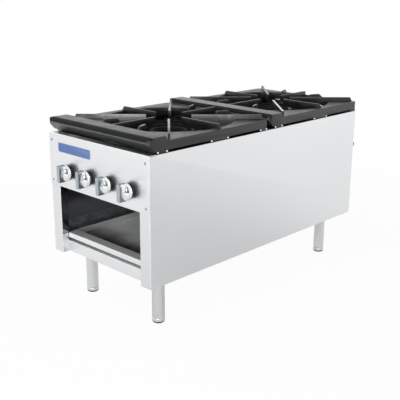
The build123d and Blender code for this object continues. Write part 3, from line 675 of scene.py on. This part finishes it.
class POTRANGE_OT_badge(bpy.types.Operator):
    """Form the bare plate: a raised rim round a slightly lower field"""

    bl_idname = "pot_range.badge"
    bl_label = "Bare plate"

    def execute(self, context):
        rim, step = 0.0022, 0.0005
        node = "badge_plate"
        plate = merged_copy(node)
        for width, depth in ((rim, 0.0), (step, -step)):
            front = min(plate.faces, key=lambda f: f.calc_center_median().y - f.calc_area())
            bmesh.ops.inset_region(plate, faces=[front], thickness=width, depth=depth, use_even_offset=True)
        finish_piece(plate, f"{node}_pressed", "blue_enamel", owner(node), node, smooth=60)
        return {"FINISHED"}


class POTRANGE_OT_screws(bpy.types.Operator):
    """Set cross-recessed pan heads in the control panel and the back"""

    bl_idname = "pot_range.screws"
    bl_label = "Screws"

    def execute(self, context):
        radius, height = 0.0045, 0.0022
        for node, facing, face, levels in (
            ("control_panel_screws", 1, PANEL_FACE, (0.389, 0.516)),
            ("back_panel_screws", -1, BACK_FACE, (0.200, 0.330, 0.460)),
        ):
            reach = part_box(node)[1].x - radius
            turn = Matrix.Rotation(facing * pi / 2, 4, "X")
            heads = []
            for x in (-reach, reach):
                for z in levels:
                    head = cross_head(radius, height)
                    head.transform(Matrix.Translation((x, face, z)) @ turn)
                    heads.append(head)
            finish_piece(joined(*heads), f"{node}_heads", "zinc_hardware", owner(node), node)
        return {"FINISHED"}


def knob_disc(rim):
    """Half section of a knob's dished disc, from its back to the middle of its front."""
    return [
        (0, 0.0001), (rim - 0.0014, 0.0001), (rim - 0.0004, 0.0005), (rim, 0.0016), (rim, 0.0038),
        (rim - 0.0004, 0.0050), (rim - 0.0014, 0.0058), (rim - 0.0026, 0.0060), (rim - 0.0038, 0.0057),
        (rim - 0.0050, 0.0049), (0.0190, 0.0041), (0.0160, 0.0041), (0.0142, 0.0047), (0.0130, 0.0060),
        (0.0118, 0.0068), (0, 0.0070),
    ]


def knob_collar(radius, bore=0.009, front=0.0150):
    """Half section of the collar that stands on the panel behind a knob."""
    return [
        (bore, 0), (radius - 0.0045, 0), (radius, 0.0090), (radius, 0.0138),
        (radius - 0.0010, front), (bore, front),
    ]


class POTRANGE_OT_knobs(bpy.types.Operator):
    """Turn the knobs' dished discs, shape their grips and mould the collars behind them"""

    bl_idname = "pot_range.knobs"
    bl_label = "Knobs and collars"

    def execute(self, context):
        half = context.scene.pot_range_sizes.grip / 2
        faces = ("pointer", "satin_flank", "dulled_hollow", "rubbed_flank")
        indices = numbered(faces)
        outwards, steps, collar_radius = (0, -1, 0), 72, 0.0248
        inset, corner, front_edge, root = 0.0005, 0.0030, 0.0008, 0.001
        hollow_width, hollow_height = (0.0030, 0.0112), (-0.001, 0.022)
        collars = []
        for number in KNOBS:
            node = f"knob_{number}"
            low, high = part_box(node)
            x, z = (low.x + high.x) / 2, (low.z + high.z) / 2
            back, rim = high.y, (high.z - low.z) / 2
            disc = turned(knob_disc(rim), (x, back, z), outwards, steps)

            grip = block((x - half, low.y, z - rim + inset), (x + half, back - root, z + rim - inset))
            round_edges(grip, corner, lambda e: runs(e, "Y"), segments=4)
            round_edges(grip, front_edge, lambda e: all(v.co.y < low.y + 1e-5 for v in e.verts), segments=2)
            # Fingers rub the flanks behind a slanted line from the top of the grip's front.
            start, slant = Vector((x, low.y + 0.001, z + 0.0245)), Vector((0, 0.0295, 0.015)).normalized()
            split(grip, start, slant)
            for face in grip.faces:
                middle = face.calc_center_median()
                in_front = face.normal.y < -0.99 and middle.y < low.y + 1e-5
                rubbed = abs(face.normal.x) > 0.9 and (middle - start).dot(slant) > 0
                finish = "pointer" if in_front else "rubbed_flank" if rubbed else "satin_flank"
                face.material_index = indices[finish]

            cheeks = hollow_cheeks(x, back, z, half - 0.0002)
            for face in cheeks.faces:
                place = face.calc_center_median()
                beside = hollow_width[0] < abs(place.x - x) - half < hollow_width[1]
                hollow = beside and hollow_height[0] < place.z - z < hollow_height[1]
                face.material_index = indices["dulled_hollow" if hollow else None]
            knob = joined(disc, cheeks, grip)
            finish_piece(knob, f"{node}_casting", "chrome_knob", owner(node), node, others=faces)
            collar = turned(knob_collar(collar_radius), (x, PANEL_FACE, z), outwards, steps, closed=True)
            collars.append(collar)
        finish_piece(joined(*collars), "knob_collars", "black_collar", owner("knob_bezels"), "knob_bezels")
        return {"FINISHED"}


GRATE_FACES = ("worn_top", "worn_left", "worn_right", "worn_bar", "ground_iron", "matt_nose", "rubbed_nose")


def grate_face_finish(section, face, high, bar_back, matt_back, nose):
    """The finish of a grate's face where it isn't plain painted iron."""
    x, y, z = face.calc_center_median()
    normal, area = face.normal, face.calc_area()
    top_depth, band_depth, ridge_depth, ridge_reach = 0.0009, 0.0108, 0.0175, 0.004
    rear_bar, centre = high.y - 0.03, high.y - 0.213
    top = z > high.z - top_depth and normal.z > 0.6
    diagonal_side = abs(abs(normal.x) - abs(normal.y)) < 0.08 and abs(normal.z) < 0.1
    if y < matt_back and z > high.z - band_depth:
        return "matt_nose"
    if y < nose + ridge_reach and z > high.z - ridge_depth:
        return "rubbed_nose"
    if top and y > bar_back and x * (y - centre) < -0.01:
        return "ground_iron" if section == "rear" and x > 0 and area > 5e-4 else "worn_top"
    if section == "front" and diagonal_side and area > 4e-4:
        return "worn_left" if x < 0 else "worn_right"
    return "worn_bar" if section == "rear" and top and (y < bar_back or y > rear_bar) else None


class POTRANGE_OT_grates(bpy.types.Operator):
    """Round the front grate's nose, wear the castings' faces and grind the ends of their feet"""

    bl_idname = "pot_range.grates"
    bl_label = "Cast grates"

    def execute(self, context):
        indices = numbered(GRATE_FACES)
        lugs = (0.036, 0.070, 0.247, 0.318, 0.470, 0.498)
        lug_low, lug_high, lug_half, lug_edge, proud = 0.5396, 0.5444, 0.0028, 0.0010, 0.0012
        nose_corner = 0.0055
        for section in SECTIONS:
            node = f"{section}_grate"
            low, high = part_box(node)
            nose = low.y - 0.0006
            bar_back, matt_back = nose + 0.068, nose + 0.0195
            casting = merged_copy(node)
            for cut in (bar_back, matt_back):
                split(casting, (0, cut, 0), (0, 1, 0))

            def nose_end(edge):
                """Whether an edge belongs to the top rim of the nose's end."""
                middle = (edge.verts[0].co + edge.verts[1].co) / 2
                return middle.z > high.z - 0.001 and abs(middle.x) > high.x - 0.003 and middle.y < bar_back

            if section == "front":
                round_edges(casting, nose_corner, nose_end, segments=4)
            round_edges(casting, context.scene.pot_range_sizes.casting_edge)
            for face in casting.faces:
                finish = grate_face_finish(section, face, high, bar_back, matt_back, nose)
                face.material_index = indices[finish]
            finish_piece(casting, f"{node}_casting", "grate_iron", owner(node), node, others=GRATE_FACES)

            ends = []
            for x in (low.x, high.x):
                for y in lugs if section == "front" else lugs[:4]:
                    start, stop = nose + y - lug_half, nose + y + lug_half
                    end = block((x - proud, start, lug_low), (x + proud, stop, lug_high))
                    round_edges(end, lug_edge, segments=3)
                    ends.append(end)
            feet = joined(*ends)
            finish_piece(feet, f"{node}_ground_feet", "grate_iron", owner(node), finish="ground_iron")
        return {"FINISHED"}


def ring_section(radius, top, half=0.0122, land=0.0062, proud=0.0003):
    """Half section of a burner ring's crown: a narrow land between two slopes that hold the ports."""
    skirt, slope = top - 0.018, top - 0.0078
    return [
        (radius - half, skirt), (radius - half, slope), (radius - land, top + proud),
        (radius + land, top + proud), (radius + half, slope), (radius + half, skirt),
    ]


PILOT_HOOD = [
    (0, 0.528), (0.0055, 0.528), (0.0055, 0.5385), (0.0046, 0.5392), (0.0046, 0.5402),
    (0.0076, 0.5402), (0.0080, 0.5410), (0.0074, 0.5425), (0.0050, 0.5434), (0, 0.5438),
]


class POTRANGE_OT_burners(bpy.types.Operator):
    """Crown the burner rings with their rows of flame ports and hood the pilots"""

    bl_idname = "pot_range.burners"
    bl_label = "Burners"

    def execute(self, context):
        upwards, ports_a_metre, port_wall, port_depth = (0, 0, 1), 240, 0.0019, 0.0026
        rings = []
        for section in SECTIONS:
            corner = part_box(f"{section}_outer_burner")[1]
            centre_y = corner.y - BURNER_BACK
            for radius in (0.150, 0.100, 0.055):
                steps = 2 * round(radius * ports_a_metre)
                crown = turned(ring_section(radius, corner.z), (0, centre_y, 0), upwards, steps, closed=True)
                ports = []
                for face in crown.faces:
                    x, y = face.calc_center_median().xy
                    place = round(atan2(y - centre_y, x) / TURN * steps - 0.5)
                    if 0.3 < face.normal.z < 0.95 and place % 2 == 0:
                        ports.append(face)
                bmesh.ops.inset_individual(
                    crown, faces=ports, thickness=port_wall, depth=-port_depth, use_even_offset=True
                )
                rings.append(crown)
        finish_piece(joined(*rings), "burner_ring_crowns", "burner_iron", "cabinet", smooth=30)

        radius, steps = 0.008, 32
        low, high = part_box("pilot_heads")
        x = (low.x + high.x) / 2
        hoods = [turned(PILOT_HOOD, (x, y, 0), upwards, steps) for y in (low.y + radius, high.y - radius)]
        finish_piece(joined(*hoods), "pilot_hoods", "steel_pilot", owner("pilot_heads"), "pilot_heads")
        return {"FINISHED"}


def bullet_foot(radius, top):
    """Half section of a levelling foot: its rounded sole, its seam, and its stem inside the tube."""
    return [
        (0, 0), (radius - 0.0042, 0), (radius - 0.0026, 0.0006), (radius - 0.0012, 0.0018),
        (radius - 0.0003, 0.0042), (radius, 0.0058), (radius, 0.0138), (radius - 0.0003, 0.0148),
        (radius - 0.0012, 0.0156), (radius - 0.0022, 0.0158), (0.008, 0.0158), (0.008, top - 0.001),
        (0.007, top), (0, top),
    ]


class POTRANGE_OT_legs(bpy.types.Operator):
    """Dull the tubes' edges and turn the bullet feet with their seam"""

    bl_idname = "pot_range.legs"
    bl_label = "Legs and feet"

    def execute(self, context):
        sole_height, cut_edge = 0.0052, 0.0005
        for place in LEG_PLACES:
            leg, foot = f"leg_{place}", f"foot_{place}"
            tube = merged_copy(leg)
            round_edges(tube, cut_edge, segments=2)
            finish_piece(tube, f"{leg}_tube", "leg_steel", owner(leg), leg)
            low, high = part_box(foot)
            centre = ((low.x + high.x) / 2, (low.y + high.y) / 2, 0)
            bullet = turned(bullet_foot((high.x - low.x) / 2, high.z), centre, (0, 0, 1), 64)
            for face in bullet.faces:
                face.material_index = int(face.calc_center_median().z < sole_height)
            finish_piece(bullet, f"{foot}_bullet", "leg_steel", owner(foot), foot, others=("foot_sole",))
        return {"FINISHED"}


class POTRANGE_OT_gas_inlet(bpy.types.Operator):
    """Cut the pipe thread on the end of the gas inlet"""

    bl_idname = "pot_range.gas_inlet"
    bl_label = "Gas inlet thread"

    def execute(self, context):
        low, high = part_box("gas_inlet_pipe")
        x, z, end = (low.x + high.x) / 2, (low.z + high.z) / 2, high.y
        pitch, turns, steps = 0.0018, 11, 32
        root, crest, start = 0.0128, 0.0133, end - 0.0208
        thread = bmesh.new()
        ridge = ((root, 0.0), (crest, 0.0008), (root, 0.0016))
        line = [thread.verts.new((x + radius, start + along, z)) for radius, along in ridge]
        edges = [thread.edges.new(pair) for pair in zip(line, line[1:] + line[:1])]
        bmesh.ops.spin(
            thread,
            geom=line + edges,
            cent=(x, end, z),
            axis=(0, 1, 0),
            dvec=(0, pitch / steps, 0),
            angle=TURN * turns,
            steps=steps * turns,
            use_merge=False,
        )
        bmesh.ops.contextual_create(thread, geom=edges)
        bmesh.ops.holes_fill(thread, edges=[e for e in thread.edges if e.is_boundary], sides=4)
        bmesh.ops.recalc_face_normals(thread, faces=thread.faces)
        body = owner("gas_inlet_pipe")
        finish_piece(thread, "gas_inlet_thread", "black_pipe", body, finish="zinc_hardware")
        return {"FINISHED"}


# For each way to see the paper: the middle of its dimmer part, and how far out it starts to brighten.
PAPER_GLOW = (("Is Camera Ray", (0, 0, 0), 0.8), ("Is Glossy Ray", (0.9, -0.6, 0), 0.6))
CAMERA_GLOW_END = 2.4  # how far out the camera sees plain white


class POTRANGE_OT_stage(bpy.types.Operator):
    """Lay the white paper, hang the lamps and stand the camera at the photograph's place"""

    bl_idname = "pot_range.stage"
    bl_label = "Studio and camera"

    def execute(self, context):
        scene, studio = context.scene, context.scene.pot_range_studio
        white = (1, 1, 1, 1)
        self.lay_paper(scene, studio, white)
        self.light_world(scene, studio, white)
        self.hang_lamps(scene, studio)
        self.stand_camera(scene, studio)
        scene.view_settings.view_transform = "Standard"
        return {"FINISHED"}

    def lay_paper(self, scene, studio, white):
        """The floor, which the camera and the steel see as plain white beyond a distance."""
        paper = bmesh.new()
        bmesh.ops.create_grid(paper, x_segments=1, y_segments=1, size=30.0)
        sheet = bpy.data.meshes.new("paper_floor")
        paper.to_mesh(sheet)
        paper.free()
        floor = bpy.data.objects.new("paper_floor", sheet)
        scene.collection.objects.link(floor)
        material, tree, shader, place = new_material("matt_white_paper")
        fibre = add(tree, "ShaderNodeTexNoise", {"Vector": place, "Scale": 400.0, "Detail": 2.0})
        tone = {"Factor": fibre, "A": scaled(studio.floor, 0.99), "B": studio.floor}
        paper_surface = {
            "Base Color": add(tree, "ShaderNodeMix", tone, data_type="RGBA"),
            "Roughness": 0.95,
            "Specular IOR Level": 0.1,
        }
        fill(shader, paper_surface)
        bright = add(tree, "ShaderNodeEmission", {"Color": white, "Strength": 1.0})
        rays = add(tree, "ShaderNodeLightPath").outputs
        share = 0.0
        limits = ((studio.glow, CAMERA_GLOW_END), (studio.mirrored, studio.mirrored_reach))
        for (ray, centre, start), (near, end) in zip(PAPER_GLOW, limits):
            away = add(tree, "ShaderNodeVectorMath", {0: place, 1: centre}, operation="DISTANCE")
            rise = {"Value": away, "From Min": start, "From Max": end, "To Min": near, "To Max": 1.0}
            far = add(tree, "ShaderNodeMapRange", rise, interpolation_type="SMOOTHSTEP")
            part = add(tree, "ShaderNodeMath", {0: rays[ray], 1: far}, operation="MULTIPLY")
            share = add(tree, "ShaderNodeMath", {0: share, 1: part}, operation="ADD")
        mixed = add(tree, "ShaderNodeMixShader", {0: share, 1: shader, 2: bright})
        fill(tree.nodes["Material Output"], {"Surface": mixed})
        sheet.materials.append(material)

    def light_world(self, scene, studio, white):
        """An even light from all round, and white where the camera or a reflection looks past the paper."""
        world = bpy.data.worlds.new("studio")
        world.use_nodes = True
        scene.world = world
        tree = world.node_tree
        tree.nodes.clear()
        lit = add(tree, "ShaderNodeBackground", {"Color": white, "Strength": studio.ambient})
        shown = add(tree, "ShaderNodeBackground", {"Color": white, "Strength": 1.0})
        rays = add(tree, "ShaderNodeLightPath").outputs
        seen = add(
            tree, "ShaderNodeMath", {0: rays["Is Camera Ray"], 1: rays["Is Glossy Ray"]}, operation="MAXIMUM"
        )
        mixed = add(tree, "ShaderNodeMixShader", {0: seen, 1: lit, 2: shown})
        add(tree, "ShaderNodeOutputWorld", {"Surface": mixed})

    def hang_lamps(self, scene, studio):
        """Round lamps, each aimed at a point of the range."""
        for name, place, aim, size, power in (
            ("key_lamp", (-2.4, -1.2, 2.6), (0, 0, 0.3), 2.6, studio.key),
            ("back_lamp", (1.9, 3.0, 0.5), (0, 0, 0.35), 1.0, studio.back),
            ("front_lamp", (0.45, -3.1, 0.55), (0, 0, 0.35), 0.8, studio.front),
            ("near_lamp", (1.2, -2.3, 1.35), (0, 0, 0.4), 0.3, studio.near),
            ("corner_lamp", (2.05, -2.15, 0.42), (0, 0, 0.42), 0.6, studio.corner),
        ):
            lamp = bpy.data.lights.new(name, "AREA")
            lamp.shape, lamp.size, lamp.energy = "DISK", size, power
            holder = bpy.data.objects.new(name, lamp)
            holder.location = place
            holder.rotation_euler = (Vector(aim) - Vector(place)).to_track_quat("-Z", "Y").to_euler()
            scene.collection.objects.link(holder)

    def stand_camera(self, scene, studio):
        """The camera, turned from the front, tilted down and rolled."""
        camera = bpy.data.cameras.new("camera")
        camera.lens, camera.shift_y, camera.clip_end = studio.lens, studio.shift, 100.0
        holder = bpy.data.objects.new("camera", camera)
        turn, tilt, roll = studio.turn
        holder.matrix_world = (
            Matrix.Translation(studio.place)
            @ Matrix.Rotation(turn, 4, "Z")
            @ Matrix.Rotation(pi / 2 - tilt, 4, "X")
            @ Matrix.Rotation(roll, 4, "Z")
        )
        scene.collection.objects.link(holder)
        scene.camera = holder


class POTRANGE_PT_sidebar(bpy.types.Panel):
    """Lists the range's steps and settings"""

    bl_idname = "POTRANGE_PT_sidebar"
    bl_label = "Stock Pot Range"
    bl_space_type = "VIEW_3D"
    bl_region_type = "UI"
    bl_category = "Pot Range"

    def draw(self, context):
        for step in STEPS:
            self.layout.operator(step.bl_idname)
        for group in ("pot_range_finishes", "pot_range_sizes", "pot_range_studio"):
            box = self.layout.box()
            settings = getattr(context.scene, group)
            for key in settings.bl_rna.properties.keys():
                if key not in ("rna_type", "name"):
                    box.prop(settings, key)


STEPS = (
    POTRANGE_OT_frame_finishes,
    POTRANGE_OT_sheet_metal,
    POTRANGE_OT_badge,
    POTRANGE_OT_screws,
    POTRANGE_OT_knobs,
    POTRANGE_OT_grates,
    POTRANGE_OT_burners,
    POTRANGE_OT_legs,
    POTRANGE_OT_gas_inlet,
    POTRANGE_OT_stage,
)
SETTINGS = {
    "pot_range_finishes": PotRangeFinishes,
    "pot_range_sizes": PotRangeSizes,
    "pot_range_studio": PotRangeStudio,
}


def register():
    for group in SETTINGS.values():
        bpy.utils.register_class(group)
    for key, group in SETTINGS.items():
        setattr(bpy.types.Scene, key, bpy.props.PointerProperty(type=group))
    for step in STEPS:
        bpy.utils.register_class(step)
    bpy.utils.register_class(POTRANGE_PT_sidebar)


def unregister():
    bpy.utils.unregister_class(POTRANGE_PT_sidebar)
    for step in reversed(STEPS):
        bpy.utils.unregister_class(step)
    for key in SETTINGS:
        delattr(bpy.types.Scene, key)
    for group in SETTINGS.values():
        bpy.utils.unregister_class(group)


def main():
    register()
    for step in STEPS:
        family, name = step.bl_idname.split(".")
        getattr(getattr(bpy.ops, family), name)()


if __name__ == "__main__":
    main()
